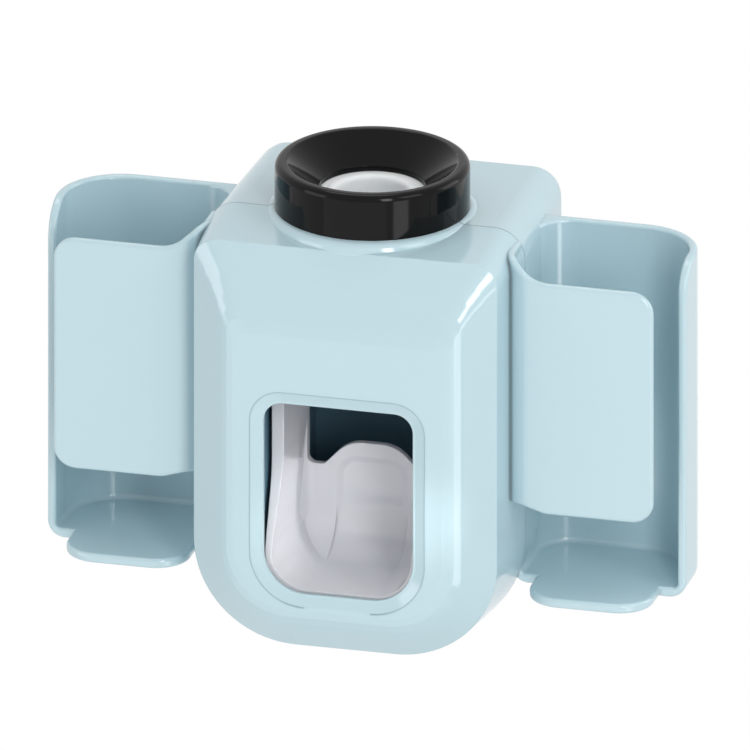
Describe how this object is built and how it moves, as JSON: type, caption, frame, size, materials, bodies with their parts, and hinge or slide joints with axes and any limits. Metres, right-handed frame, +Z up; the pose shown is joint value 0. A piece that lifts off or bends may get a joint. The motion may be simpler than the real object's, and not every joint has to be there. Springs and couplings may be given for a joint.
{
  "type": "toothpaste dispenser",
  "caption": "Wall-hung toothpaste dispenser: bevelled housing with a scoop lever that works a piston pump, a funnel ring for the tube, and an open side well at each end.",
  "frame": {"origin": "centre of the adhesive face that lies on the wall", "axes": "+X to the right seen from the front, +Y into the wall, +Z up"},
  "size_m": [0.1684, 0.0785, 0.1261],
  "materials": {
    "housing_blue": "pale blue moulded ABS, glossy",
    "ring_black": "black moulded ABS, high gloss",
    "lever_white": "white moulded ABS, glossy",
    "seal_white": "white silicone, satin",
    "rubber_black": "black rubber, matt",
    "frame_dark": "dark slate moulded plastic, satin",
    "steel": "zinc-plated steel",
    "foam": "acrylic foam tape, matt"
  },
  "bodies": {
    "wall_mount": {"wall_plate": "frame_dark", "adhesive_pad": "foam"},
    "housing": {"front_shell": "housing_blue", "rear_shell": "housing_blue", "shell_screws": "steel", "funnel_ring": "ring_black", "tube_seal": "seal_white", "pump_cylinder": "lever_white", "cylinder_o_ring": "rubber_black", "inlet_valve": "seal_white", "pump_frame": "frame_dark", "frame_screws": "steel", "pivot_bushes": "lever_white"},
    "lever": {"push_lever": "lever_white", "lever_pivot_pins": "steel"},
    "piston": {"piston": "lever_white", "piston_seal": "rubber_black", "crosshead": "lever_white", "crosshead_pins": "steel", "nozzle": "lever_white", "outlet_valve": "seal_white", "return_spring": "steel"}
  },
  "joints": [
    {"name": "lift_off", "type": "slide", "parent": "wall_mount", "child": "housing", "axis": [0, 0, 1], "range_m": [0, 0.008]},
    {"name": "push", "type": "hinge", "parent": "housing", "child": "lever", "pos_m": [0, -0.057, 0.017], "axis": [1, 0, 0], "range_deg": [0, 18], "stiffness_Nm_per_rad": 0.2, "springref_deg": -11.46},
    {"name": "piston_stroke", "type": "slide", "parent": "housing", "child": "piston", "axis": [0, 0, 1], "range_m": [0, 0.00439], "deforming": ["return_spring"]}
  ],
  "couplings": [
    {"joint": "push", "follows": "piston_stroke", "rad_per_m": 71.43}
  ]
}
